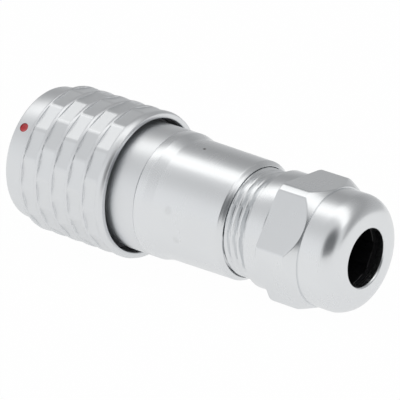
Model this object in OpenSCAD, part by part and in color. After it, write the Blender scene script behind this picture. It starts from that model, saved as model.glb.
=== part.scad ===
// Push-pull circular connector plug for a cable, lying along X.
// X = 0 is the mating face and +X points to the cable gland. The axis is Y = 0, Z = 0.
// Clock angles go from +Z (top) toward -Y.

/* [Nose and mating bore] */
// Radius of the guide bore that takes the spigot of the panel socket
mating_bore_r = 8; // [7.6:0.05:8.4]
// Length of the guide bore
guide_length = 3.2; // [2.4:0.1:4]
// Step from the guide bore down to the cavity behind it
guide_step = 0.2; // [0.2:0.05:0.4]
// Wall of the nose shell around the guide bore
shell_wall = 0.9; // [0.8:0.05:1.1]
// Height of the nose band above the rest of the shell
nose_lip = 0.95; // [0.6:0.05:1.2]
// Length of the nose band ahead of the sleeve
nose_length = 3.2; // [2.8:0.1:5]
// Rounding of the front edge of the nose
nose_round = 0.35; // [0.1:0.05:0.6]
// Depth of the mating cavity, from the face to its floor
cavity_depth = 9.6; // [9.3:0.1:12]
// Width of the key rib in the mating bore
key_width = 1.8; // [1:0.1:3]
// Height of the key rib above the wall of the cavity
key_height = 0.6; // [0.4:0.05:1]
// Clock angle of the key rib and of the red dot
key_angle = 53; // [0:1:359]
// Diameter of the red dot
dot_d = 1.35; // [0.8:0.05:2]
// Depth of the dimple that holds the dot
dot_depth = 0.35; // [0.2:0.05:0.6]

/* [Coupling sleeve] */
// Length of the sleeve
sleeve_length = 15.25; // [14.8:0.05:18]
// Gap that stays open between nose and sleeve
sleeve_gap = 0.34; // [0.2:0.02:0.8]
// Pull that frees the lock
sleeve_travel = 2.5; // [2:0.1:2.8]
// Room between shell and sleeve for the spring
spring_room = 0.9; // [0.8:0.05:1.2]
// Wall of the sleeve outside the spring
sleeve_wall = 0.95; // [0.8:0.05:1.4]

/* [Grip] */
// Rows of brick-like flats
brick_rows = 5; // [2:1:5]
// Flats in a row
bricks_per_row = 15; // [10:1:24]
// Length of a flat along the axis
brick_length = 2.25; // [1.2:0.05:2.6]
// Distance from one row to the next
row_pitch = 2.83; // [2.7:0.01:2.9]
// Depth of a flat at its middle
brick_depth = 0.27; // [0.15:0.01:0.35]
// How far the ridge between two flats lies below the sleeve's surface
ridge_drop = 0.08; // [0.04:0.01:0.12]
// Plain ring ahead of the first row
front_ring = 0.48; // [0.3:0.02:0.8]
// Clock angle of a flat's middle in the first row
grip_angle = 16; // [0:1:24]

/* [Lock] */
// Radius of a locking ball
ball_r = 0.9; // [0.85:0.05:1]
// How far a locked ball stands into the cavity
ball_bite = 0.35; // [0.25:0.05:0.4]
// Diameter of the wire of the return spring
spring_wire = 0.45; // [0.3:0.05:0.5]
// Turns of the return spring
spring_turns = 6; // [4:1:7]
// Length of the return spring at rest
spring_length = 6.6; // [6:0.1:8]

/* [Barrel] */
// Height of the shell's flange above the shell
flange_lip = 0.26; // [0.2:0.02:0.5]
// Length of that flange, up to the joint with the barrel
flange_length = 7.1; // [6:0.1:9]
// Length of the barrel
barrel_length = 14.8; // [14:0.1:18]
// Full-size stretch at the front of the barrel
barrel_shoulder = 1.4; // [0.8:0.1:2.5]
// Length of the cone behind that stretch
barrel_cone = 1.6; // [1:0.1:3]
// Drop of the barrel's radius over the cone
barrel_drop = 0.44; // [0.3:0.02:0.6]
// Further drop of the radius from the cone to the end
barrel_taper = 0.17; // [0:0.01:0.25]
// Chamfer around the end of the barrel
barrel_chamfer = 0.35; // [0.2:0.05:0.5]
// Wall of the barrel's end around the gland's thread
barrel_rim = 0.75; // [0.6:0.05:1]

/* [Gland] */
// Pitch of the gland's front thread
gland_pitch = 1.15; // [1:0.05:1.5]
// Length of thread that shows between barrel and collar
gland_reveal = 3.85; // [3:0.05:5]
// Height of the gland's collar above the front thread
collar_lip = 0.63; // [0.4:0.02:0.8]
// Length of the collar
collar_length = 2.7; // [1.5:0.1:4]
// Step from the front thread down to the rear thread
thread_step = 0.55; // [0.4:0.05:0.7]
// Pitch of the rear thread, which moves the nut one pitch a turn
nut_pitch = 1; // [0.75:0.25:1.5]
// Wall of the gland's mouth under the rear thread
mouth_wall = 0.8; // [0.6:0.05:1]
// Rise of the cone inside the mouth
mouth_rise = 0.7; // [0.5:0.05:0.9]
// Wall of the collet that grips the cable
collet_wall = 1.27; // [1:0.01:1.6]
// Length of the collet
collet_length = 5.54; // [4:0.02:8]

/* [Clamping nut] */
// Wall of the nut at the flats of its hexagon
hex_wall = 1.25; // [1:0.05:1.6]
// Height of the hexagon's turned corners above its flats
corner_rise = 1; // [0.6:0.05:1.2]
// Length of the hexagon at its corners
hex_length = 4.55; // [3.5:0.05:6]
// Length of the cone between hexagon and dome
hex_cone = 1.65; // [1:0.05:2.5]
// Step from the flats of the hexagon down to the dome
dome_step = 0.2; // [0.1:0.05:0.4]
// Length of the dome
dome_length = 5.45; // [5:0.05:7]
// Rounding of the dome's outer edge
dome_round = 2.9; // [1.5:0.1:3.2]
// Wall of the dome around the cable hole
dome_wall = 1.3; // [1:0.05:1.8]

/* [Contacts] */
// Contacts around the middle one
ring_contacts = 6; // [3:1:8]
// Radius of the circle of contacts
contact_circle_r = 3.6; // [3:0.1:4.2]
// Radius of a contact pin
pin_r = 0.5; // [0.3:0.05:0.6]
// Length of pin ahead of the insert
pin_length = 4.4; // [3:0.1:4.6]

/* [Hidden] */
$fn = 96;

fit = 0.03;             // clearance of parts that are pushed together
slip = 0.05;            // clearance of parts that slide or turn
cable_play = 0.3;       // room around the cable inside the plug
edge = 0.15;            // small broken edge
over = 1;               // how far a cut runs past its solid
satin = "#c9cbcd";
steel = "#a9acb0";
black = "#1b1b1d";

// Radii of the shell, from the bore outward
shell_r = mating_bore_r + shell_wall;
cavity_r = mating_bore_r - guide_step;
insert_wall = 2;
insert_lip = 0.4;
insert_r = shell_r - insert_wall;                 // bore behind the cavity
insert_lip_r = insert_r - insert_lip;             // shoulder that stops the insert
spigot_r = cavity_r;                              // shell's thread inside the barrel
o_ring_depth = 0.5;
groove_r = spigot_r - o_ring_depth;               // floor of the O-ring groove
nose_r = shell_r + nose_lip;
flange_r = shell_r + flange_lip;
sleeve_bore_r = shell_r + spring_room;
sleeve_r = sleeve_bore_r + sleeve_wall;
stop_ring_depth = 0.35;                           // how deep the stop ring sits in the shell

// Radii of the barrel, gland and nut, from the shell inward
waist_r = flange_r - barrel_drop;                 // barrel behind its cone
barrel_end_r = waist_r - barrel_taper;
gland_bore_r = barrel_end_r - barrel_rim;
gland_thread_r = gland_bore_r - slip;
collar_r = gland_thread_r + collar_lip;
rear_thread_r = gland_thread_r - thread_step;
flare_r = rear_thread_r - mouth_wall;             // widest part of the mouth
collet_bore_r = flare_r - mouth_rise;             // bore that holds collet and seal
collet_r = collet_bore_r - fit;
cable_way_r = collet_r - collet_wall;             // way for the cable inside the plug
cable_hole_r = cable_way_r - cable_play;
nut_bore_r = rear_thread_r + slip;
hex_r = nut_bore_r + hex_wall;                    // half the width across the flats
hex_corner_r = hex_r + corner_rise;
dome_r = hex_r - dome_step;
nut_room_r = flare_r + slip * 2;                  // room for the seal inside the dome

// Stations along X, from the mating face
ball_count = 3;
ball_inset = 0.46;                    // ball behind the sleeve's front when pulled
ball_guard = 0.2;                     // from a ball to the stop ring
ball_path_r = cavity_r - ball_bite + ball_r;      // where a locked ball's middle lies
ball_top_r = ball_path_r + ball_r;
sleeve_x = nose_length + sleeve_gap;
sleeve_end = sleeve_x + sleeve_length;
ball_x = sleeve_x + sleeve_travel + ball_inset;
stop_ring_x = ball_x + ball_r + ball_guard;
stop_ring_t = 0.4;
land_x = stop_ring_x + stop_ring_t + slip;
land_length = 0.75;
spring_x = land_x + land_length;
spring_end = spring_x + spring_length;
spring_stop_t = 0.7;
flange_x = spring_end + spring_stop_t;
seam_x = flange_x + flange_length;
spigot_length = 5;
o_ring_lead = 0.4;                    // from the seam to the O-ring groove
o_ring_x = seam_x + o_ring_lead;
o_ring_room = 1.1;
barrel_end = seam_x + barrel_length;
collar_x = barrel_end + gland_reveal;
collar_end = collar_x + collar_length;
nut_gap = 0.12;                       // from collar to nut
nut_x = collar_end + nut_gap;
hex_end = nut_x + hex_length;
dome_x = hex_end + hex_cone;
nut_end = dome_x + dome_length;

// Inside the shell
key_setback = 0.4;                    // from the guide bore to the key rib
insert_step = 0.8;                    // length of the shoulder's lip
insert_length = 8.1;
insert_nose = 0.3;                    // how far the insert stands into the cavity
insert_end = cavity_depth + insert_length - insert_nose;
rear_insulator_t = 1.75;
retaining_t = 1.5;
contact_collar_r = pin_r + 0.3;
contact_collar_length = 1.5;
contact_tail_r = pin_r + 0.2;
contact_collar_x = insert_end - contact_collar_length;
cup_wall = 0.2;                       // wall of a contact's solder cup
cup_depth = 2.6;
cup_opening = 1.8;
tail_x = insert_end + rear_insulator_t;
tail_length = 4;
seal_t = 0.6;

// Inside the gland
thread_depth = 0.45;                  // of a thread's groove, as a share of its pitch
thread_engagement = 5.8;
bore_undercut = 0.5;                  // room past the end of the gland's thread
gland_front = barrel_end - thread_engagement;
collet_inset = 1.4;                   // collet ahead of the collar's front
collet_x = collar_x - collet_inset;
mouth_end = 0.15;                     // how far the gland reaches into the dome
gland_end = dome_x + mouth_end;
flare = 1;                            // length of the cone in the mouth
seal_x = collet_x + collet_length + slip;
washer_t = 0.7;
washer_x = nut_end - dome_wall - slip - washer_t;
nut_relief = 0.9;                     // smooth bore of the nut past the gland
lip_round = 0.35;

// Turns a solid that is built upright so that it lies along X
module lie() {
    rotate([0, 90, 0]) rotate([0, 0, 180]) children();
}

// A ring between two stations
module ring(x0, x1, inner, outer) {
    translate([0, 0, x0]) difference() {
        cylinder(h = x1 - x0, r = outer);
        translate([0, 0, -over]) cylinder(h = x1 - x0 + 2 * over, r = inner);
    }
}

// Places its children on a circle, the first at clock angle start
module around(count, circle_r, start = 0) {
    for (i = [0 : count - 1])
        rotate([0, 0, start + 360 * i / count]) translate([circle_r, 0, 0]) children();
}

// Points of a regular polygon that has the given distance to its flats
function flat_sided(sides, apothem) =
    [for (i = [0 : sides - 1])
        let (a = 360 * (i + 0.5) / sides) apothem / cos(180 / sides) * [cos(a), sin(a)]];

// Points of an arc about a centre, for a profile of [radius, station]
function arc(centre, r, from, to, steps = 12) =
    [for (i = [0 : steps]) let (a = from + (to - from) * i / steps) centre + r * [cos(a), sin(a)]];

// ---- Nose shell -------------------------------------------------------------

module shell_profile() {
    polygon(concat(
        [[mating_bore_r, 0]],
        arc([nose_r - nose_round, nose_round], nose_round, -90, 0, 6),
        [[nose_r, nose_length - edge], [nose_r - edge, nose_length], [shell_r, nose_length],
         [shell_r, flange_x], [flange_r, flange_x], [flange_r, seam_x], [spigot_r, seam_x],
         [spigot_r, seam_x + spigot_length - edge], [spigot_r - edge, seam_x + spigot_length],
         [insert_r, seam_x + spigot_length], [insert_r, cavity_depth + insert_step],
         [insert_lip_r, cavity_depth + insert_step], [insert_lip_r, cavity_depth],
         [cavity_r, cavity_depth], [cavity_r, guide_length + guide_step],
         [mating_bore_r, guide_length]]));
}

// The ball windows narrow at the cavity, so that the balls stay in
module ball_windows() {
    ball_seat = 0.1;      // thickness of the narrow stretch
    around(ball_count, 0, key_angle + 180 / ball_count) translate([0, 0, ball_x]) rotate([0, 90, 0]) {
        translate([0, 0, cavity_r + ball_seat]) cylinder(h = shell_wall + over, r = ball_r + fit);
        translate([0, 0, cavity_r - over]) cylinder(h = 2 * over, r = ball_r - slip);
    }
}

module key_rib() {
    x0 = guide_length + key_setback;
    x1 = cavity_depth - seal_t - slip;
    top_r = cavity_r - key_height;
    root_r = cavity_r + shell_wall / 2;
    rotate([0, 0, key_angle]) intersection() {
        translate([top_r - over, -key_width / 2, x0]) cube([root_r, key_width, x1 - x0]);
        ring(x0, x1, top_r, root_r);
    }
}

module nose_shell() {
    color(satin) lie() difference() {
        union() {
            rotate_extrude() shell_profile();
            key_rib();
        }
        ball_windows();
        ring(stop_ring_x - fit, stop_ring_x + stop_ring_t + fit, shell_r - stop_ring_depth,
            shell_r + over);
        ring(o_ring_x, o_ring_x + o_ring_room, groove_r, spigot_r + over);
        rotate([0, 0, key_angle]) translate([nose_r - dot_depth, 0, nose_length / 2])
            rotate([0, 90, 0]) cylinder(h = over, r = dot_d / 2);
    }
}

// Enamel in the dimple, dished in the middle
module alignment_dot() {
    color("#c01820") lie() rotate([0, 0, key_angle])
        translate([nose_r - dot_depth, 0, nose_length / 2]) rotate([0, 90, 0]) difference() {
            cylinder(h = dot_depth * 0.6, r = dot_d / 2 - 0.01);
            translate([0, 0, dot_depth * 0.3 + dot_d]) sphere(r = dot_d);
        }
}

module mating_seal() {
    color(black) lie()
        ring(cavity_depth - seal_t, cavity_depth, insert_lip_r + edge, cavity_r - fit);
}

module barrel_o_ring() {
    cord_r = o_ring_depth / 2 - fit / 3;
    color(black) lie() translate([0, 0, o_ring_x + o_ring_room / 2]) rotate_extrude()
        translate([groove_r + fit / 2 + cord_r, 0]) circle(r = cord_r, $fn = 24);
}

// ---- Coupling sleeve --------------------------------------------------------

ramp_slope = ball_bite / sleeve_travel;
ramp_end = land_x - slip / 2;

// Radius of the ramp that holds the balls in, at a station
function ramp_r(x) = ball_top_r + fit + ramp_slope * (ball_x - x);

module sleeve_profile() {
    rim = 0.2;            // drop of the rear rim
    rim_length = 0.56;
    bore_edge = 0.1;
    ramp_x = ball_x - sleeve_travel - 0.1;
    polygon([[ramp_r(ramp_x) + edge, sleeve_x], [sleeve_r - edge, sleeve_x], [sleeve_r, sleeve_x + edge],
        [sleeve_r, sleeve_end - rim_length], [sleeve_r - rim, sleeve_end],
        [sleeve_bore_r + bore_edge, sleeve_end], [sleeve_bore_r, sleeve_end - bore_edge],
        [sleeve_bore_r, spring_x], [shell_r + slip, spring_x], [shell_r + slip, land_x],
        [ramp_r(ramp_end), land_x], [ramp_r(ramp_end), ramp_end], [ramp_r(ramp_x), ramp_x],
        [ramp_r(ramp_x), sleeve_x + edge]]);
}

// What one row of flats takes away from the sleeve
module brick_row(x, angle) {
    apothem = sleeve_r - brick_depth;
    translate([0, 0, x]) rotate([0, 0, angle]) linear_extrude(brick_length) difference() {
        circle(r = sleeve_r + over);
        intersection() {
            circle(r = sleeve_r - ridge_drop);
            polygon(flat_sided(bricks_per_row, apothem));
        }
    }
}

module coupling_sleeve() {
    step = 360 / bricks_per_row;
    color(satin) lie() difference() {
        rotate_extrude() sleeve_profile();
        for (i = [0 : brick_rows - 1])
            brick_row(sleeve_x + front_ring + i * row_pitch, grip_angle + (i % 2) * step / 2);
    }
}

// ---- Lock and spring --------------------------------------------------------

module locking_ball(i) {
    angle = key_angle + 180 / ball_count + 360 * i / ball_count;
    color(steel) lie() rotate([0, 0, angle]) translate([ball_path_r, 0, ball_x]) sphere(r = ball_r);
}
module locking_ball_1() { locking_ball(0); }
module locking_ball_2() { locking_ball(1); }
module locking_ball_3() { locking_ball(2); }

// A snap ring, open over a small angle
module snap_ring(x, t, inner, outer, opening) {
    difference() {
        ring(x, x + t, inner, outer);
        translate([0, -opening / 2, x - over]) cube([outer + over, opening, t + 2 * over]);
    }
}

module sleeve_stop_ring() {
    color(steel) lie() rotate([0, 0, key_angle])
        snap_ring(stop_ring_x, stop_ring_t, shell_r - stop_ring_depth + fit,
            ramp_r(ramp_end) - slip, 2);
}

module spring_stop_ring() {
    color(steel) lie() ring(spring_end + slip, flange_x, shell_r + fit, sleeve_bore_r - slip * 2);
}

// Round wire wound into a coil whose first and last turns lie close
module return_spring() {
    sides = 8;
    per_turn = 24;
    steps = spring_turns * per_turn;
    wire_r = spring_wire / 2;
    coil_r = shell_r + spring_room / 2 + 0.02;
    run = spring_length - spring_wire - 2 * slip;
    dead = 1.2 * spring_wire / run;
    function along(u) = u < 1 / spring_turns ? dead * u * spring_turns
        : u > 1 - 1 / spring_turns ? 1 - dead * (1 - u) * spring_turns
        : dead + (1 - 2 * dead) * (u - 1 / spring_turns) / (1 - 2 / spring_turns);
    points = [for (k = [0 : steps]) let (a = 360 * k / per_turn, x = run * along(k / steps))
        for (j = [0 : sides - 1]) let (b = 360 * j / sides, r = coil_r + wire_r * cos(b))
            [r * cos(a), r * sin(a), x + wire_r * sin(b)]];
    skin = [for (k = [0 : steps - 1]) for (j = [0 : sides - 1]) let (n = (j + 1) % sides)
        [k * sides + j, (k + 1) * sides + j, (k + 1) * sides + n, k * sides + n]];
    front = [[for (j = [0 : sides - 1]) j]];
    back = [[for (j = [sides - 1 : -1 : 0]) steps * sides + j]];
    color(steel) lie() translate([0, 0, spring_x + wire_r + slip])
        polyhedron(points = points, faces = concat(front, skin, back), convexity = 10);
}

// ---- Contacts ---------------------------------------------------------------

module contact_places() {
    rotate([0, 0, key_angle]) {
        children();
        around(ring_contacts, contact_circle_r) children();
    }
}

module contact_insert() {
    front = cavity_depth - insert_nose;
    color(black) lie() difference() {
        union() {
            translate([0, 0, front]) cylinder(h = insert_length, r = insert_lip_r - fit);
            translate([0, 0, cavity_depth + insert_step + fit])
                cylinder(h = insert_length - insert_step - insert_nose - fit, r = insert_r - fit);
        }
        contact_places() {
            translate([0, 0, front - over]) cylinder(h = insert_length + 2 * over, r = pin_r + fit);
            translate([0, 0, contact_collar_x - fit])
                cylinder(h = insert_length, r = contact_collar_r + fit);
        }
    }
}

module rear_insulator() {
    color(black) lie() translate([0, 0, insert_end]) difference() {
        cylinder(h = rear_insulator_t, r = insert_r - fit);
        contact_places() translate([0, 0, -over])
            cylinder(h = rear_insulator_t + 2 * over, r = contact_tail_r + fit);
    }
}

module contact_pins() {
    tip_x = cavity_depth - insert_nose - pin_length;
    tip_round = pin_r * 0.6;
    color("#d8b24a") lie() contact_places() difference() {
        union() {
            translate([0, 0, tip_x]) cylinder(h = tip_round, r1 = pin_r - tip_round / 2, r2 = pin_r);
            translate([0, 0, tip_x + tip_round]) cylinder(h = insert_end - tip_x - tip_round, r = pin_r);
            translate([0, 0, contact_collar_x])
                cylinder(h = insert_end - contact_collar_x - fit, r = contact_collar_r);
            translate([0, 0, insert_end - over])
                cylinder(h = tail_x + tail_length - insert_end + over, r = contact_tail_r);
        }
        translate([0, 0, tail_x + tail_length - cup_depth])
            cylinder(h = tail_length, r = contact_tail_r - cup_wall);
        translate([0, -over, tail_x + tail_length - cup_opening]) cube([over, 2 * over, tail_length]);
    }
}

// Threaded ring with two slots for a pin spanner
module insert_retaining_ring() {
    slot = 1.2;
    wall = 1.2;
    x0 = insert_end + rear_insulator_t;
    color(satin) lie() difference() {
        ring(x0, x0 + retaining_t, insert_r - wall, insert_r - fit);
        translate([-insert_r, -slot / 2, x0 + retaining_t / 2]) cube([2 * insert_r, slot, over]);
    }
}

// ---- Barrel -----------------------------------------------------------------

module barrel() {
    cone_x = seam_x + barrel_shoulder;
    bore_land = 0.7;      // step between the two threaded bores
    front_bore_r = spigot_r + fit;
    waist_bore_r = min(front_bore_r, gland_bore_r) - bore_land;
    front_end = seam_x + spigot_length + fit;
    undercut_x = gland_front - bore_undercut;
    color(satin) lie() rotate_extrude() polygon([[front_bore_r, seam_x], [flange_r, seam_x],
        [flange_r, cone_x], [waist_r, cone_x + barrel_cone],
        [barrel_end_r, barrel_end - barrel_chamfer * 2],
        [barrel_end_r - barrel_chamfer, barrel_end - barrel_chamfer],
        [gland_bore_r + edge, barrel_end], [gland_bore_r, barrel_end - edge],
        [gland_bore_r, undercut_x], [waist_bore_r, undercut_x],
        [waist_bore_r, front_end], [front_bore_r, front_end]]);
}

// ---- Gland ------------------------------------------------------------------

// Grooves of a thread, counted from its rear end forward
module thread_grooves(rear, length, r, pitch) {
    depth = pitch * thread_depth;
    half = pitch * 0.07;
    for (i = [0 : floor(length / pitch - 1)]) translate([0, 0, rear - i * pitch]) rotate_extrude()
        polygon([[r - depth, -half], [r - depth, half], [r + edge, half + depth * 0.8],
            [r + edge, -half - depth * 0.8]]);
}

module gland_body() {
    lead = gland_pitch * thread_depth;
    runout = 0.8;         // plain stretch between a thread and its shoulder, in pitches
    rear_x = collar_end + nut_pitch * runout;
    color(satin) lie() difference() {
        rotate_extrude() polygon([[cable_way_r + edge, gland_front],
            [gland_thread_r - lead, gland_front],
            [gland_thread_r, gland_front + lead], [gland_thread_r, collar_x], [collar_r - edge, collar_x],
            [collar_r, collar_x + edge], [collar_r, collar_end - edge], [collar_r - edge, collar_end],
            [rear_thread_r, collar_end], [rear_thread_r, gland_end - 2 * edge],
            [rear_thread_r - 2 * edge, gland_end], [flare_r, gland_end],
            [collet_bore_r, gland_end - flare], [collet_bore_r, collet_x],
            [cable_way_r + edge, collet_x]]);
        thread_grooves(collar_x - gland_pitch * runout, collar_x - gland_front - gland_pitch * runout,
            gland_thread_r, gland_pitch);
        thread_grooves(gland_end - nut_pitch * runout, gland_end - rear_x, rear_thread_r, nut_pitch);
    }
}

// Slotted collet that the seal drives onto the cable
module clamp_collet() {
    cuts = 3;
    cut = 0.8;
    band = 1.6;           // uncut stretch at the front
    color(steel) lie() translate([0, 0, collet_x]) difference() {
        ring(fit, collet_length, cable_way_r, collet_r);
        for (i = [0 : cuts - 1]) rotate([0, 0, 180 * i / cuts])
            translate([-collet_bore_r, -cut / 2, band]) cube([2 * collet_bore_r, cut, collet_length]);
    }
}

module cable_seal() {
    back_x = washer_x - slip;
    back_edge = 0.8;      // rounded-off rear corner
    inner_r = cable_hole_r + cable_play / 2;
    color(black) lie() rotate_extrude() polygon([[inner_r, seal_x], [collet_r, seal_x],
        [collet_r, gland_end - flare + fit], [flare_r - fit, gland_end + fit],
        [flare_r - fit, back_x - back_edge], [flare_r - back_edge / 2, back_x], [inner_r, back_x]]);
}

module thrust_washer() {
    color(black) lie() ring(washer_x, washer_x + washer_t, cable_hole_r + cable_play, nut_room_r - slip);
}

// ---- Clamping nut -----------------------------------------------------------

module clamping_nut() {
    bore_end = gland_end + nut_relief;
    room_end = nut_end - dome_wall;
    step = 0.06;          // shoulder in front of the dome
    color(satin) lie() difference() {
        union() {
            intersection() {
                translate([0, 0, nut_x]) linear_extrude(hex_length + hex_cone)
                    polygon(flat_sided(6, hex_r));
                rotate_extrude() polygon([[0, nut_x], [hex_corner_r - edge, nut_x],
                    [hex_corner_r, nut_x + edge], [hex_corner_r, hex_end], [hex_r, dome_x - step],
                    [hex_r, dome_x], [0, dome_x]]);
            }
            rotate_extrude() polygon(concat([[0, dome_x - over], [dome_r, dome_x - over]],
                arc([dome_r - dome_round, nut_end - dome_round], dome_round, 0, 90, 14),
                [[0, nut_end]]));
        }
        translate([0, 0, nut_x - over]) cylinder(h = bore_end - nut_x + over, r = nut_bore_r);
        translate([0, 0, nut_x - over]) cylinder(h = room_end - nut_x + over, r = nut_room_r);
        cylinder(h = nut_end + over, r = cable_hole_r);
        rotate_extrude() polygon(concat(
            arc([cable_hole_r + lip_round, nut_end - lip_round], lip_round, 180, 90, 5),
            [[cable_hole_r + lip_round, nut_end + over], [0, nut_end + over], [0, nut_end - lip_round]]));
    }
}

nose_shell();
alignment_dot();
coupling_sleeve();
return_spring();
sleeve_stop_ring();
spring_stop_ring();
locking_ball_1();
locking_ball_2();
locking_ball_3();
mating_seal();
contact_insert();
contact_pins();
rear_insulator();
insert_retaining_ring();
barrel_o_ring();
barrel();
gland_body();
clamp_collet();
cable_seal();
thrust_washer();
clamping_nut();
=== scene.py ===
import math
import bpy
from mathutils import Matrix, Vector


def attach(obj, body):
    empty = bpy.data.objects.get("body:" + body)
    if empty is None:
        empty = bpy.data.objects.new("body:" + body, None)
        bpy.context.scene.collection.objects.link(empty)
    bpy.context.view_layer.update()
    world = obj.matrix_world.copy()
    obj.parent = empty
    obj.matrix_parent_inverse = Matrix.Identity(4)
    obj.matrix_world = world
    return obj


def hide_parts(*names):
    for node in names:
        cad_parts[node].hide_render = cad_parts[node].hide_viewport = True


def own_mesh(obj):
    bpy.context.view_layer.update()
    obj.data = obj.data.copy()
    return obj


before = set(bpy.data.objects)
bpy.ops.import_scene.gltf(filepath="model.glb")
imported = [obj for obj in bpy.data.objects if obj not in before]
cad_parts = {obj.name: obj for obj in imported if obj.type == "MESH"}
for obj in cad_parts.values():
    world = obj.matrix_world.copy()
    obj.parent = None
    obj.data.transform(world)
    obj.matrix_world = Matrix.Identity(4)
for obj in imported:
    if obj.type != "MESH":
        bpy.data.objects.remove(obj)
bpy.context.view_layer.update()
MM = 0.001

# ---- Camera -----------------------------------------------------------------
# A long lens looks down on the plug from its right and from its cable end, so
# that the grip, the barrel and the mouth of the nut all show.

camera = bpy.data.objects.new("camera", bpy.data.cameras.new("camera"))
bpy.context.scene.collection.objects.link(camera)
camera.location = (0.26534535, -0.31153458, 0.14198326)
camera.rotation_euler = [math.radians(a) for a in (70.0816296, -3.7597939, 38.6996389)]
camera.data.sensor_width = 36
camera.data.lens = 270
camera.data.clip_start = 0.01
bpy.context.scene.camera = camera

# ---- Table ------------------------------------------------------------------
# A white sheet under the plug, which lies on the edge of its sleeve and on one
# flat of its nut. It shows white to the eye and in the plating, and it is
# shaded a little where the plug stands.


class Wire:
    """One output of a shader's nodes. Sums on it add their own Math nodes."""

    def __init__(self, tree, socket=None):
        self.tree = tree
        self.socket = socket

    def node(self, kind, inputs=None, out=0, stops=None, **settings):
        node = self.tree.nodes.new("ShaderNode" + kind)
        for name, value in settings.items():
            setattr(node, name, value)
        for i, (place, tone) in enumerate(stops or []):
            marks = node.color_ramp.elements
            stop = marks[0] if i == 0 else marks.new(place)
            if i == 0:
                marks.remove(marks[1])
            stop.position = place
            stop.color = (tone, tone, tone, 1)
        for name, value in (inputs or {}).items():
            if isinstance(value, Wire):
                self.tree.links.new(value.socket, node.inputs[name])
            else:
                node.inputs[name].default_value = value
        return Wire(self.tree, node.outputs[out] if len(node.outputs) else None)

    def sum(self, operation, a, b=0.0):
        return self.node("Math", {0: a, 1: b}, operation=operation)

    def __add__(self, other): return self.sum("ADD", self, other)
    def __radd__(self, other): return self.sum("ADD", other, self)
    def __sub__(self, other): return self.sum("SUBTRACT", self, other)
    def __rsub__(self, other): return self.sum("SUBTRACT", other, self)
    def __mul__(self, other): return self.sum("MULTIPLY", self, other)
    def __rmul__(self, other): return self.sum("MULTIPLY", other, self)
    def __truediv__(self, other): return self.sum("DIVIDE", self, other)


white_sheet = bpy.data.materials.new("white_sheet")
white_sheet.use_nodes = True
white_sheet.node_tree.nodes.clear()
sheet = Wire(white_sheet.node_tree)
eye = sheet.node("LightPath", out="Is Camera Ray")
gloss = sheet.node("LightPath", out="Is Glossy Ray")
glass = sheet.node("LightPath", out="Is Transmission Ray")
paper = sheet.node("BsdfDiffuse", {"Color": (0.9, 0.9, 0.9, 1)})
glow = sheet.node("Emission", {"Color": (1, 1, 1, 1), "Strength": 1.0})
lit = sheet.node("MixShader", {0: eye * 0.985 + gloss * 0.8 + glass * 0.8, 1: paper, 2: glow})
sheet.node("OutputMaterial", {"Surface": lit})

sleeve_r, sleeve_rear = 10.75, 18.8
hex_flat_r, hex_front = 8.5, 44.7
lean = math.atan2(sleeve_r - hex_flat_r, hex_front - sleeve_rear)
bpy.ops.object.select_all(action="DESELECT")
bpy.ops.mesh.primitive_plane_add(size=8)
table = bpy.context.object
table.name = "table"
table.matrix_world = (Matrix.Translation((sleeve_rear * MM, 0, -(sleeve_r + 0.03) * MM))
                      @ Matrix.Rotation(-lean, 4, "Y"))
bpy.ops.object.transform_apply(location=True, rotation=True, scale=True)
table.data.materials.append(white_sheet)

# ---- Lamps ------------------------------------------------------------------
# The plug stands in a white light tent with a long soft box above it. The tent
# is greyer up behind the plug, and it is open and dark round the camera.

lamp = bpy.data.objects.new("soft_box", bpy.data.lights.new("soft_box", "AREA"))
bpy.context.scene.collection.objects.link(lamp)
lamp.data.shape = "RECTANGLE"
lamp.data.size, lamp.data.size_y = 2.4, 0.42
lamp.data.energy = 0.6 * math.pi * lamp.data.size * lamp.data.size_y
lamp.data.color = (1.0, 0.985, 0.95)
lamp.location = (0, -0.02, 0.85)

tent = bpy.data.worlds.new("tent")
bpy.context.scene.world = tent
tent.use_nodes = True
tent.node_tree.nodes.clear()
air = Wire(tent.node_tree)
way = air.node("TexCoord", out="Generated")
side = air.node("SeparateXYZ", {0: way}, out="Y")
up = air.node("SeparateXYZ", {0: way}, out="Z")
round_axis = air.sum("ARCTAN2", side * -1.0, up) / math.pi + 0.5
cloth = air.node("ValToRGB", {"Fac": round_axis}, out="Color",
                 stops=[(0.0, 0.62), (0.13, 0.5), (0.22, 0.38), (0.34, 0.42), (0.42, 0.66), (0.5, 0.84),
                        (0.6, 0.78), (0.70, 0.66), (0.79, 0.74), (0.88, 0.9), (1.0, 0.94)])
camera_way = (0.5704, -0.7477, 0.3399)
near = air.node("VectorMath", {0: way, 1: camera_way}, out="Value", operation="DOT_PRODUCT")
opening = air.node("MapRange", {"Value": near, "From Min": 0.78, "From Max": 0.94},
                   interpolation_type="SMOOTHSTEP")
walls = air.node("Mix", {"Factor": opening * 0.85, "A": cloth, "B": (0.04, 0.045, 0.05, 1)}, out="Result",
                 data_type="RGBA")
tinted = air.node("Mix", {"Factor": 1.0, "A": walls, "B": (0.985, 0.99, 1.0, 1)}, out="Result",
                  data_type="RGBA", blend_type="MULTIPLY")
eye = air.node("LightPath", out="Is Camera Ray")
dim = air.node("Background", {"Color": tinted})
white = air.node("Background", {"Color": (1, 1, 1, 1)})
air.node("OutputWorld", {"Surface": air.node("MixShader", {0: eye, 1: dim, 2: white})})
bpy.context.scene.view_settings.view_transform = "Standard"

# ---- Nose shell -------------------------------------------------------------
# The front half of the plug's body, turned from brass bar and plated a satin
# chrome. Its guide slides into the socket, and its flange closes the sleeve's
# room at the back.


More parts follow.
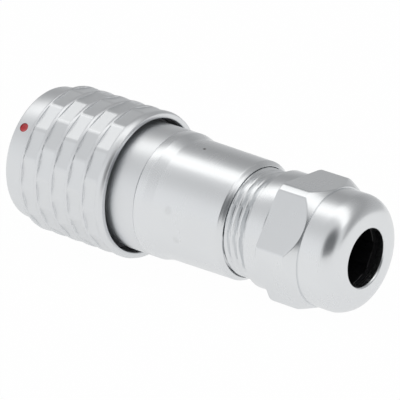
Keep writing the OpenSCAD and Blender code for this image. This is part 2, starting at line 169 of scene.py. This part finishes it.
def turn(name, stations, sides=240):
    """A turned part: one ring, pulled out from station to station and closed."""
    bpy.ops.object.select_all(action="DESELECT")
    x, r = stations[0]
    bpy.ops.mesh.primitive_circle_add(vertices=sides, radius=r * MM, location=(x * MM, 0, 0),
                                      rotation=(0, math.pi / 2, 0))
    part = bpy.context.object
    part.name = name
    bpy.ops.object.transform_apply(location=True, rotation=True, scale=True)
    bpy.ops.object.mode_set(mode="EDIT")
    bpy.ops.mesh.select_all(action="SELECT")
    for next_x, next_r in stations[1:] + stations[:1]:
        bpy.ops.mesh.extrude_edges_move(TRANSFORM_OT_translate={"value": ((next_x - x) * MM, 0, 0)})
        bpy.ops.transform.resize(value=(1, next_r / r, next_r / r), center_override=(next_x * MM, 0, 0))
        x, r = next_x, next_r
    bpy.ops.mesh.select_all(action="SELECT")
    bpy.ops.mesh.remove_doubles(threshold=1e-7)
    bpy.ops.mesh.normals_make_consistent(inside=False)
    bpy.ops.object.mode_set(mode="OBJECT")
    return part


def rounded(corners, r=0.08, steps=3):
    """Stations of a profile whose corners are each broken with a small round."""
    out = []
    for i, here in enumerate(corners):
        a, p, b = Vector(corners[i - 1]), Vector(here), Vector(corners[(i + 1) % len(corners)])
        reach = min(r, (a - p).length * 0.45, (b - p).length * 0.45)
        start, end = p + (a - p).normalized() * reach, p + (b - p).normalized() * reach
        for k in range(steps + 1):
            t = k / steps
            q = start * (1 - t) ** 2 + p * 2 * t * (1 - t) + end * t ** 2
            out.append((q.x, q.y))
    return out


def soften(part, angle=35):
    """Smooth shading, but for edges sharper than the angle."""
    bpy.ops.object.select_all(action="DESELECT")
    part.select_set(True)
    bpy.context.view_layer.objects.active = part
    bpy.ops.object.shade_smooth_by_angle(angle=math.radians(angle))


def dress(part, finish, body, node):
    part.data.materials.append(finish)
    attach(part, body)
    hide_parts(node)


def plating(name, colour, rough, grain=0.35, lines=0.5):
    """Satin plate: a fine blasted grain, faint turned lines and a few smudges."""
    finish = bpy.data.materials.new(name)
    finish.use_nodes = True
    skin = Wire(finish.node_tree)
    shader = finish.node_tree.nodes["Principled BSDF"]
    place = skin.node("TexCoord", out="Object")
    across = skin.node("SeparateXYZ", {0: place}, out="X")
    rings = skin.node("TexNoise", {"W": across, "Scale": 6000.0, "Detail": 3.0}, noise_dimensions="1D")
    sand = skin.node("TexNoise", {"Vector": place, "Scale": 9000.0, "Detail": 2.0})
    smudge = skin.node("TexNoise", {"Vector": place, "Scale": 260.0, "Detail": 4.0})
    cloud = skin.node("TexNoise", {"Vector": place, "Scale": 55.0, "Detail": 2.0})
    tone = (cloud - 0.5) * 0.06 + (smudge - 0.5) * 0.03 + 1.0
    tint = skin.node("Mix", {"Factor": 1.0, "A": (*colour, 1), "B": tone}, out="Result",
                     data_type="RGBA", blend_type="MULTIPLY")
    shader.inputs["Metallic"].default_value = 1.0
    skin.tree.links.new(tint.socket, shader.inputs["Base Color"])
    roughness = (rings - 0.5) * 0.05 + (smudge - 0.5) * 0.08 + rough
    skin.tree.links.new(roughness.socket, shader.inputs["Roughness"])
    height = (rings - 0.5) * lines + (sand - 0.5) * grain
    bump = skin.node("Bump", {"Height": height, "Strength": 1.0, "Distance": 0.000004}, out="Normal")
    skin.tree.links.new(bump.socket, shader.inputs["Normal"])
    return finish


satin = plating("satin_plate", (0.765, 0.78, 0.793), 0.36)
nose_r, shell_r, guide_r, cavity_r = 9.85, 8.9, 8.0, 7.8
nose = turn("nose_shell_turned", rounded(
    [(0, guide_r), (0, nose_r - 0.35), (0.35, nose_r), (3.2, nose_r), (3.2, shell_r), (7.57, shell_r),
     (7.57, 8.55), (8.03, 8.55), (8.03, shell_r), (16.1, shell_r), (16.1, 9.16), (23.2, 9.16), (23.2, 7.8),
     (23.6, 7.8), (23.6, 7.3), (24.7, 7.3), (24.7, 7.8), (28.2, 7.8), (28.2, 6.9), (10.4, 6.9),
     (10.4, 6.5), (9.6, 6.5), (9.6, cavity_r), (3.4, cavity_r), (3.2, guide_r)], 0.12))


def outwards(angle, r, x):
    """A place at a clock angle, a radius and a station, and the way out there."""
    way = Vector((0, -math.sin(math.radians(angle)), math.cos(math.radians(angle))))
    return way * r * MM + Vector((x * MM, 0, 0)), way.to_track_quat("Z", "X").to_euler()


def work(part, tool, operation):
    """Cuts a tool out of a part, or joins it on, and clears the tool away."""
    bpy.ops.object.select_all(action="DESELECT")
    bpy.context.view_layer.objects.active = part
    cut = part.modifiers.new("cut", "BOOLEAN")
    cut.operation, cut.object, cut.solver = operation, tool, "EXACT"
    bpy.ops.object.modifier_apply(modifier="cut")
    bpy.data.objects.remove(tool)


def drill(part, angle, x, r, low, high):
    place, turned = outwards(angle, (low + high) / 2, x)
    bpy.ops.object.select_all(action="DESELECT")
    bpy.ops.mesh.primitive_cylinder_add(vertices=48, radius=r * MM, depth=(high - low) * MM,
                                        location=place, rotation=turned)
    work(part, bpy.context.object, "DIFFERENCE")


key_clock, dot_x, dot_r, ball_x = 53, 1.6, 0.675, 6.5
drill(nose, key_clock, dot_x, dot_r, nose_r - 0.35, nose_r + 0.35)
for ball_clock in (113, 233, 353):
    drill(nose, ball_clock, ball_x, 0.93, 7.9, 9.6)
    drill(nose, ball_clock, ball_x, 0.85, 7.0, 8.1)
rib_low, rib_high, rib_front, rib_back, rib_width = 7.2, 8.3, 3.6, 8.95, 1.8
place, turned = outwards(key_clock, (rib_low + rib_high) / 2, (rib_front + rib_back) / 2)
bpy.ops.object.select_all(action="DESELECT")
bpy.ops.mesh.primitive_cube_add(size=1, location=place, rotation=turned)
rib = bpy.context.object
across = rib.matrix_world.to_3x3() @ Vector((1, 0, 0))
length, width = (rib_back - rib_front) * MM, rib_width * MM
rib.scale = (length, width, 0) if abs(across.x) > 0.5 else (width, length, 0)
rib.scale.z = (rib_high - rib_low) * MM
bpy.ops.object.transform_apply(location=True, rotation=True, scale=True)
bevel = rib.modifiers.new("bevel", "BEVEL")
bevel.width, bevel.segments = 0.08 * MM, 2
bpy.ops.object.modifier_apply(modifier="bevel")
work(nose, rib, "UNION")
soften(nose)
dress(nose, satin, "plug_body", "nose_shell")

# ---- Contacts ---------------------------------------------------------------
# Seven turned pins, plated with gold over nickel, pressed into a moulded
# insert. An insulator behind it and a slotted threaded ring hold them in.


def moulded(name, colour, rough, grain):
    """Moulded plastic or rubber with the fine grain of its tool."""
    finish = bpy.data.materials.new(name)
    finish.use_nodes = True
    skin = Wire(finish.node_tree)
    shader = finish.node_tree.nodes["Principled BSDF"]
    place = skin.node("TexCoord", out="Object")
    mottle = skin.node("TexNoise", {"Vector": place, "Scale": 900.0, "Detail": 3.0})
    sand = skin.node("TexNoise", {"Vector": place, "Scale": 7000.0, "Detail": 2.0})
    tint = skin.node("Mix", {"Factor": 1.0, "A": (*colour, 1), "B": (mottle - 0.5) * 0.3 + 1.0},
                     out="Result", data_type="RGBA", blend_type="MULTIPLY")
    skin.tree.links.new(tint.socket, shader.inputs["Base Color"])
    skin.tree.links.new(((mottle - 0.5) * 0.16 + rough).socket, shader.inputs["Roughness"])
    bump = skin.node("Bump", {"Height": sand, "Strength": grain, "Distance": 0.000005}, out="Normal")
    skin.tree.links.new(bump.socket, shader.inputs["Normal"])
    return finish


def refinish(finish, *nodes):
    """A better finish for parts that keep the shape they came with."""
    for name in nodes:
        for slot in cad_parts[name].material_slots:
            slot.material = finish


gold = plating("gold_flash", (0.83, 0.62, 0.27), 0.2)
black_plastic = moulded("insert_plastic", (0.022, 0.022, 0.024), 0.42, 0.5)
refinish(gold, "contact_pins")
refinish(black_plastic, "contact_insert", "rear_insulator", "thrust_washer")
refinish(satin, "insert_retaining_ring")

# ---- Seals ------------------------------------------------------------------
# Two rings of black nitrile rubber: a flat one at the bottom of the mating
# cavity, and a round cord in the groove of the spigot.

rubber = moulded("nitrile_rubber", (0.012, 0.012, 0.013), 0.5, 0.7)
refinish(rubber, "mating_seal", "barrel_o_ring")

# ---- Lock -------------------------------------------------------------------
# Three bright steel balls in the windows of the shell, and the two steel rings
# that stop the sleeve and its spring.

ball_steel = plating("ball_steel", (0.6, 0.6, 0.61), 0.12, 0.1, 0.0)
# The stop rings and the collet are coloured near black: painted shade for the bottom of the gap behind the
# sleeve.
dark_steel_gap_shade = plating("dark_steel_gap_shade", (0.07, 0.07, 0.075), 0.4)
refinish(ball_steel, "locking_ball_1", "locking_ball_2", "locking_ball_3")
refinish(dark_steel_gap_shade, "sleeve_stop_ring", "spring_stop_ring", "clamp_collet")

# ---- Return spring ----------------------------------------------------------
# Round spring wire wound into six turns, with the two end turns closed. It
# stands between the sleeve's shoulder and its stop ring.

wire_r, coil_r, turns = 0.225, 9.37, 6
wire_sides, steps_a_turn, end_gap = 12, 48, 0.05
spring_front, spring_rear = 8.8, 15.4
bpy.ops.object.select_all(action="DESELECT")
bpy.ops.mesh.primitive_circle_add(vertices=wire_sides, radius=wire_r * MM, rotation=(math.pi / 2, 0, 0),
                                  location=((spring_front + wire_r + end_gap) * MM, 0, coil_r * MM))
spring = bpy.context.object
spring.name = "spring_coil"
bpy.ops.object.transform_apply(location=True, rotation=True, scale=True)
bpy.ops.object.mode_set(mode="EDIT")
bpy.ops.mesh.select_all(action="SELECT")
bpy.ops.mesh.spin(steps=steps_a_turn * turns, angle=2 * math.pi * turns, center=(0, 0, 0),
                  axis=(1, 0, 0))
bpy.ops.object.mode_set(mode="OBJECT")
run = spring_rear - spring_front - 2 * (wire_r + end_gap)
dead = 1.2 * 2 * wire_r / run
for point in spring.data.vertices:
    u = point.index // wire_sides / (steps_a_turn * turns)
    if u < 1 / turns:
        along = dead * u * turns
    elif u > 1 - 1 / turns:
        along = 1 - dead * (1 - u) * turns
    else:
        along = dead + (1 - 2 * dead) * (u - 1 / turns) / (1 - 2 / turns)
    point.co.x += run * along * MM
bpy.ops.object.mode_set(mode="EDIT")
bpy.ops.mesh.select_all(action="DESELECT")
bpy.ops.mesh.select_non_manifold()
bpy.ops.mesh.edge_face_add()
bpy.ops.mesh.select_all(action="SELECT")
bpy.ops.mesh.normals_make_consistent(inside=False)
bpy.ops.object.mode_set(mode="OBJECT")
soften(spring, 50)
spring_wire = plating("spring_wire", (0.5, 0.5, 0.51), 0.24, 0.1, 0.0)
dress(spring, spring_wire, "plug_body", "return_spring")
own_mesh(spring)

# ---- Coupling sleeve --------------------------------------------------------
# The sleeve that the hand pulls back, turned and then milled with five rows of
# short flats, each row half a flat round from the last. It has the same plate.


def clock(point):
    """Degrees round the axis from the top, towards the right-hand side."""
    return math.degrees(math.atan2(-point.y, point.z)) % 360


def blend_low(a, b, soft):
    """The lower of two radii, with the edge between them broken."""
    return -soft * math.log(math.exp(-(a - 10) / soft) + math.exp(-(b - 10) / soft)) + 10


def flat_radius(angle, apothem, count, start):
    step = 360 / count
    off = (angle - start + step / 2) % step - step / 2
    return apothem / math.cos(math.radians(off))


def set_radius(point, r):
    now = math.hypot(point.y, point.z)
    point.y *= r * MM / now
    point.z *= r * MM / now


rows, row_pitch, flat_length, flat_depth = 5, 2.83, 2.25, 0.27
flats_a_row, first_flat, ridge_r = 15, 16, 10.67
sleeve_front, bore_r = 3.54, 9.8
first_row = 4.02
outside = [(sleeve_front, sleeve_r - 0.15), (sleeve_front + 0.05, sleeve_r - 0.07),
           (sleeve_front + 0.15, sleeve_r)]
for i in range(rows):
    start = first_row + i * row_pitch
    for edge_x, way in ((start, 1), (start + flat_length, -1)):
        steps = (-0.07, -0.03, 0.0, 0.03, 0.07, 0.14)
        outside += [(edge_x + way * off, sleeve_r) for off in steps[::way]]
outside += [(sleeve_rear - 0.57, sleeve_r), (sleeve_rear - 0.5, sleeve_r - 0.02),
            (sleeve_rear - 0.07, sleeve_r - 0.18), (sleeve_rear - 0.02, sleeve_r - 0.25),
            (sleeve_rear, sleeve_r - 0.34)]
inside = [(sleeve_rear, bore_r + 0.16), (sleeve_rear - 0.05, bore_r + 0.06), (sleeve_rear - 0.14, bore_r),
          (8.8, bore_r), (8.8, 8.95), (8.05, 8.95), (8.05, 9.067), (8.025, 9.067), (3.9, 9.644),
          (3.69, 9.644), (sleeve_front, 9.794)]
sleeve = turn("grip_sleeve", outside + inside, 720)
for vertex in sleeve.data.vertices:
    point = vertex.co
    x = point.x / MM
    if math.hypot(point.y, point.z) < (sleeve_r - 0.05) * MM:
        continue
    for i in range(rows):
        start = first_row + i * row_pitch
        inward = min(x - start, start + flat_length - x)
        if inward > -0.05:
            share = min(max((inward + 0.05) / 0.1, 0), 1)
            share = share * share * (3 - 2 * share)
            r = blend_low(flat_radius(clock(point), sleeve_r - flat_depth, flats_a_row,
                                      first_flat + 12 * (i % 2)), ridge_r, 0.008)
            set_radius(point, sleeve_r + (r - sleeve_r) * share)
soften(sleeve, 40)
dress(sleeve, satin, "coupling_sleeve", "coupling_sleeve")

# ---- Barrel -----------------------------------------------------------------
# The waisted rear half of the body, screwed over the spigot of the shell up to
# a fine seam. It is turned smoother than the grip.

polished = plating("polished_plate", (0.775, 0.79, 0.803), 0.26, 0.2, 0.6)
skin = Wire(polished.node_tree)
place = skin.node("TexCoord", out="Object")
# Three round spots where the plate's colour is darkened towards dark brown: a small strong one near the
# top, and two wide faint ones on the right side.
marks, skin_r = 0.0, 8.68
for x, angle, r, depth in ((29.0, 10, 0.3, 0.9), (28.9, 82, 0.9, 0.07), (30.3, 109, 0.8, 0.06)):
    spot, turned = outwards(angle, skin_r, x)
    away = skin.node("VectorMath", {0: place, 1: spot}, out="Value", operation="DISTANCE")
    fade = skin.node("MapRange", {"Value": away, "From Min": r * MM, "From Max": r * 0.3 * MM,
                                  "To Max": depth}, interpolation_type="SMOOTHSTEP")
    marks = fade + marks
shader = polished.node_tree.nodes["Principled BSDF"]
plain = Wire(polished.node_tree, shader.inputs["Base Color"].links[0].from_socket)
spotted = skin.node("Mix", {"Factor": marks, "A": plain, "B": (0.1, 0.09, 0.08, 1)}, out="Result",
                   data_type="RGBA")
skin.tree.links.new(spotted.socket, shader.inputs["Base Color"])
barrel = turn("barrel_turned", rounded(
    [(23.2, 7.83), (23.2, 9.16), (24.6, 9.16), (26.2, 8.72), (37.3, 8.55), (37.65, 8.2), (38.0, 7.95),
     (37.85, 7.8), (31.4, 7.8), (31.4, 7.1), (28.23, 7.1), (28.23, 7.83)], 0.1))
soften(barrel)
dress(barrel, polished, "plug_body", "barrel")

# ---- Gland body -------------------------------------------------------------
# The threaded core that screws into the barrel and carries the nut. Both
# threads are cut as one groove that runs round, up to a plain collar.

gland_pitch, nut_pitch = 1.15, 1.0
gland_groove, nut_groove = 40.93, 50.22
thread_r, rear_thread_r, collar_r = 7.75, 7.2, 8.38


def thread_drop(x, angle, groove, pitch, depth):
    """How deep a right-hand groove cuts at a station and a clock angle."""
    off = (x - groove - pitch * (angle - 65) / 360 + pitch / 2) % pitch - pitch / 2
    floor, mouth = 0.07 * pitch, 0.36 * pitch
    slope = (abs(off) - floor) / (mouth - floor)
    share = 1 - min(max(slope, 0), 1)
    return depth * share


stations_a_turn = 12
front_thread = [(32.75 + i * gland_pitch / stations_a_turn, thread_r) for i in range(94)]
rear_thread = [(44.7 + i * nut_pitch / stations_a_turn, rear_thread_r) for i in range(72)]
gland = turn("gland_turned",
             [(32.2, 4.7), (32.2, 7.23)] + front_thread
             + [(41.83, thread_r)]
             + rounded([(41.85, thread_r), (41.85, collar_r), (44.55, collar_r),
                        (44.55, rear_thread_r)], 0.1)
             + rear_thread + rounded([(50.72, rear_thread_r), (51.02, 6.9), (51.02, 6.4), (50.32, 5.7),
                                      (40.45, 5.7), (40.45, 4.55), (32.2, 4.55)], 0.05))
for vertex in gland.data.vertices:
    point = vertex.co
    x, r = point.x / MM, math.hypot(point.y, point.z) / MM
    if 32.7 < x < 41.84 and 7.6 < r < 7.8:
        drop = thread_drop(x, clock(point), gland_groove, gland_pitch, 0.5)
        set_radius(point, thread_r - drop * min(1, (41.75 - x) / 0.3 if x > 41.45 else 1))
    elif 44.65 < x < 50.7 and 7.1 < r < 7.3:
        set_radius(point, rear_thread_r - thread_drop(x, clock(point), nut_groove, nut_pitch, 0.43))
soften(gland)
dress(gland, polished, "plug_body", "gland_body")
# The gland behind its collar, under the nut, is coloured dark: painted shade, so that the gap between
# collar and nut shows as a dark line.
thread_shade = plating("thread_painted_shade", (0.16, 0.16, 0.155), 0.45)
gland.data.materials.append(thread_shade)
for face in gland.data.polygons:
    if face.center.x > 44.56 * MM and face.center.yz.length < 7.4 * MM:
        face.material_index = 1

# ---- Cable seal -------------------------------------------------------------
# A thick grommet of soft black rubber in the mouth of the gland. The nut drives
# it onto the cable, and its bore has low ribs along it.

seal_rubber = moulded("grommet_rubber", (0.008, 0.008, 0.009), 0.3, 0.15)
grommet = turn("grommet", rounded(
    [(46.04, 4.25), (46.04, 5.67), (50.35, 5.67), (51.05, 6.37), (53.42, 6.37), (54.22, 5.97),
     (54.22, 4.25)], 0.15))
for vertex in grommet.data.vertices:
    r = math.hypot(vertex.co.y, vertex.co.z) / MM
    if r < 4.45:
        wave = max(0.0, math.cos(math.radians(8 * clock(vertex.co))))
        set_radius(vertex.co, r + 0.32 * wave)
soften(grommet, 50)
dress(grommet, seal_rubber, "plug_body", "cable_seal")

# ---- Clamping nut -----------------------------------------------------------
# A domed hexagon nut, turned from bar with the hexagon left on it. Its corners
# are turned down, and a cone runs from them to the dome.

hex_x, hex_end, cone_end, nut_end = 44.67, 49.22, 50.81, 56.32
dome_r, dome_round, hole_r, lip = 8.3, 2.9, 4.1, 0.35
blank = [(hex_x, 9.3), (hex_x + 0.05, 9.42), (hex_x + 0.15, 9.5), (hex_x + 0.25, 9.5), (47.0, 9.5),
         (hex_end - 0.1, 9.5)]
for i in range(25):
    t = i / 24
    blank.append((hex_end + (cone_end - hex_end) * t, 9.5 - 1.0 * t))
blank += [(50.86, 8.46), (50.87, 8.4), (50.87, dome_r + 0.02), (50.9, dome_r)]
blank += [(nut_end - dome_round + dome_round * math.sin(a), dome_r - dome_round + dome_round * math.cos(a))
          for a in [math.pi / 2 * i / 28 for i in range(29)]]
blank += [(nut_end, hole_r + lip + 0.3)]
blank += [(nut_end - lip + lip * math.cos(a), hole_r + lip - lip * math.sin(a))
          for a in [math.pi / 2 * i / 8 for i in range(9)]]
blank += rounded([(55.02, hole_r), (55.02, 6.5), (51.3, 6.5), (51.3, 7.25), (hex_x, 7.25)], 0.06)[2:]
nut = turn("domed_nut", blank, 360)
for vertex in nut.data.vertices:
    point = vertex.co
    x, r = point.x / MM, math.hypot(point.y, point.z) / MM
    if x < 50.865 and r > 8.38:
        set_radius(point, blend_low(flat_radius(clock(point), hex_flat_r, 6, 0), r, 0.012))
soften(nut, 30)
dress(nut, polished, "clamping_nut", "clamping_nut")

# ---- Alignment dot ----------------------------------------------------------
# Red enamel run into a dimple of the nose, a little sunk as it dried.

enamel = moulded("red_enamel", (0.56, 0.012, 0.02), 0.16, 0.05)
enamel.node_tree.nodes["Principled BSDF"].inputs["Coat Weight"].default_value = 0.6
refinish(enamel, "alignment_dot")
